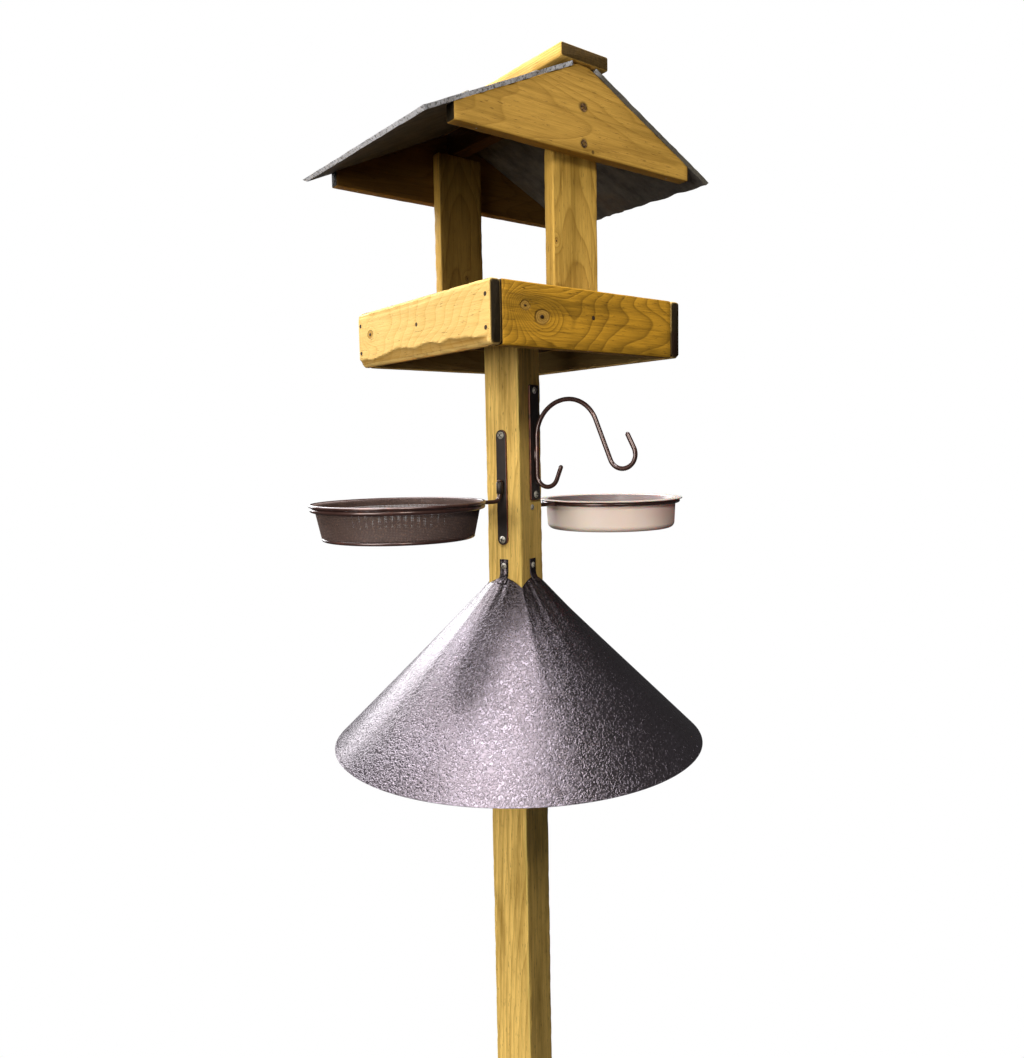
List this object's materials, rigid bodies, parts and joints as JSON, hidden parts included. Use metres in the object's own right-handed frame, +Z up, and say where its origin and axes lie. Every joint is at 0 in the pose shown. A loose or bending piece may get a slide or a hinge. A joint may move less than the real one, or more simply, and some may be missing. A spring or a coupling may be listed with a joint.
{
  "type": "bird feeder table on pole",
  "caption": "Garden bird feeding table on a square timber pole: roofed tray, swing-out seed and water dishes, double hook and cone baffle.",
  "frame": {"origin": "centre of the pole's foot", "axes": "+Z up along the pole, -Y towards the front gable of the house, +X to its right"},
  "size_m": [0.4763, 0.416, 1.5908],
  "materials": {
    "treated_pine": "pressure-treated pine, thin yellow-brown stain, open grain",
    "shaded_pine": "the same pine, unsanded and darker",
    "hardwood_dowel": "plain turned hardwood",
    "slate": "riven natural slate with chipped bright edges",
    "hammered_paint": "hammered brown-black gloss paint on sheet steel",
    "painted_strap": "satin brown-black paint on flat steel",
    "coated_wire": "copper-brown coated steel wire",
    "woven_mesh": "coated woven wire mesh",
    "cream_plastic": "cream moulded plastic, satin",
    "zinc_screw": "zinc-plated steel",
    "steel_nail": "dull wire nail"
  },
  "bodies": {
    "root": {"pole_lower": "treated_pine", "pole_upper": "treated_pine", "tray_board_left": "treated_pine", "tray_board_right": "treated_pine", "tray_board_front": "treated_pine", "tray_board_back": "treated_pine", "roof_post_front": "treated_pine", "roof_post_back": "treated_pine", "gable_front": "treated_pine", "gable_back": "treated_pine", "ridge_cap": "treated_pine", "tray_floor": "shaded_pine", "ridge_batten": "shaded_pine", "pole_dowel": "hardwood_dowel", "slate_left": "slate", "slate_right": "slate", "baffle_cone": "hammered_paint", "baffle_rivets": "hammered_paint", "seed_plate": "painted_strap", "water_plate": "painted_strap", "hook_plate": "painted_strap", "double_hook": "coated_wire", "pole_joint_screws": "zinc_screw", "tray_floor_screws": "zinc_screw", "roof_post_screws": "zinc_screw", "gable_screws": "zinc_screw", "ridge_cap_screws": "zinc_screw", "baffle_screws": "zinc_screw", "seed_plate_screws": "zinc_screw", "water_plate_screws": "zinc_screw", "hook_plate_screws": "zinc_screw", "spare_pole_screw": "zinc_screw", "slate_nails": "zinc_screw", "tray_corner_nails": "steel_nail", "tray_floor_nails": "steel_nail"},
    "seed_arm": {"seed_ring_arm": "coated_wire"},
    "seed_dish": {"seed_dish_rim": "coated_wire", "seed_dish_wall": "woven_mesh", "seed_dish_floor": "woven_mesh", "seed_dish_foot_wire": "coated_wire"},
    "water_arm": {"water_ring_arm": "coated_wire"},
    "water_cup": {"water_dish": "cream_plastic"}
  },
  "joints": [
    {"name": "seed_arm_swing", "type": "hinge", "parent": "root", "child": "seed_arm", "pos_m": [-0.02701, -0.00878, 1.163], "axis": [0, 0, 1], "range_deg": [-23, 67]},
    {"name": "seed_dish_lift", "type": "slide", "parent": "seed_arm", "child": "seed_dish", "axis": [0, 0, 1], "range_m": [0, 0.06]},
    {"name": "water_arm_swing", "type": "hinge", "parent": "root", "child": "water_arm", "pos_m": [0.02701, 0.00878, 1.155], "axis": [0, 0, 1], "range_deg": [-23, 67]},
    {"name": "water_dish_lift", "type": "slide", "parent": "water_arm", "child": "water_cup", "axis": [0, 0, 1], "range_m": [0, 0.06]}
  ]
}
